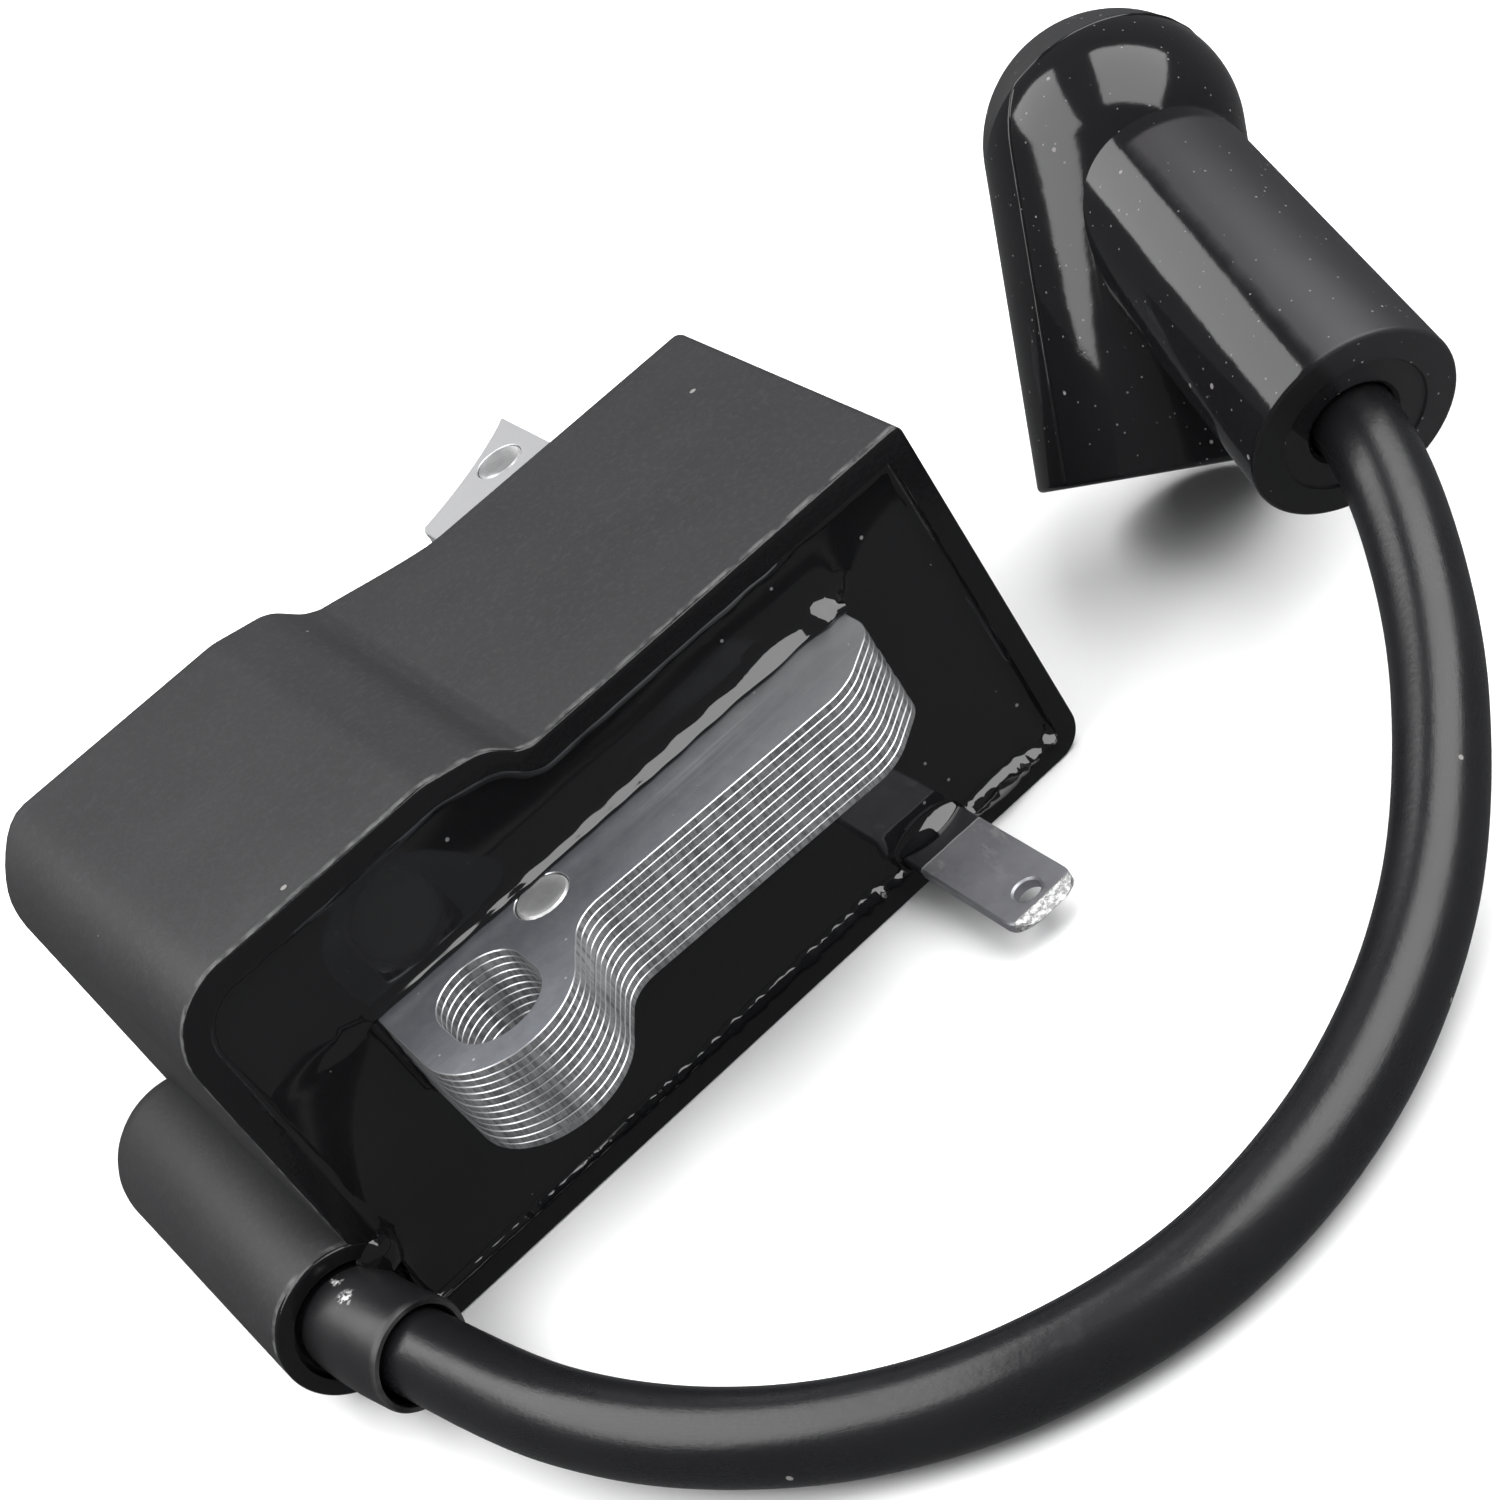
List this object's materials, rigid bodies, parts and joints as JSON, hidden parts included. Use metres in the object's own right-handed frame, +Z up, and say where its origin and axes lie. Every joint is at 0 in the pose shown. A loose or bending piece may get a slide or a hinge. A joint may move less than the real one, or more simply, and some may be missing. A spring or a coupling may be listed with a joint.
{
  "type": "ignition coil",
  "caption": "Flywheel ignition coil: laminated U core with a slotted lug through a black potted case, a spade terminal, and a short high tension lead to an elbowed spark plug boot.",
  "frame": {"origin": "middle of the coil's own footprint (lead and boot left out), at the level of the case's flat base", "axes": "+X along the case from the lead side to the terminal side, +Y from the potted face towards the flywheel, +Z up, normal to the core's sheets"},
  "size_m": [0.095, 0.0885, 0.0294],
  "materials": {
    "case_plastic": "fine matte grain",
    "resin": "poured, high gloss",
    "core_steel": "stamped sheet, brushed",
    "rivet_steel": "peened flush",
    "tinned_brass": "bright tinned",
    "contact_brass": "turned",
    "copper_wire": "enamelled copper",
    "bobbin_nylon": "moulded",
    "board_laminate": "solder mask",
    "component_epoxy": "moulded",
    "resistor_lacquer": "lacquered",
    "lead_rubber": "satin",
    "sleeve_rubber": "matte",
    "boot_rubber": "glossy moulded",
    "spring_steel": "bright wire"
  },
  "bodies": {
    "root": {"case_shell": "case_plastic", "potting_resin": "resin", "lamination_01": "core_steel", "lamination_02": "core_steel", "lamination_03": "core_steel", "lamination_04": "core_steel", "lamination_05": "core_steel", "lamination_06": "core_steel", "lamination_07": "core_steel", "lamination_08": "core_steel", "lamination_09": "core_steel", "lamination_10": "core_steel", "lamination_11": "core_steel", "lamination_12": "core_steel", "rivet_yoke": "rivet_steel", "rivet_right_pole": "rivet_steel", "rivet_left_pole": "rivet_steel", "primary_bobbin": "bobbin_nylon", "primary_winding": "copper_wire", "secondary_bobbin": "bobbin_nylon", "secondary_winding_1": "copper_wire", "secondary_winding_2": "copper_wire", "secondary_winding_3": "copper_wire", "secondary_winding_4": "copper_wire", "secondary_winding_5": "copper_wire", "circuit_board": "board_laminate", "power_transistor": "component_epoxy", "trigger_thyristor": "component_epoxy", "capacitor": "component_epoxy", "gate_resistor": "resistor_lacquer", "bias_resistor": "resistor_lacquer", "clamp_diode": "component_epoxy", "spade_terminal": "tinned_brass", "outlet_contact_cup": "contact_brass", "lead_conductor_end": "copper_wire", "high_tension_wire": "copper_wire", "lead_jacket": "lead_rubber", "lead_sleeve": "sleeve_rubber", "boot_body": "boot_rubber", "boot_contact_spring": "spring_steel"}
  },
  "joints": []
}
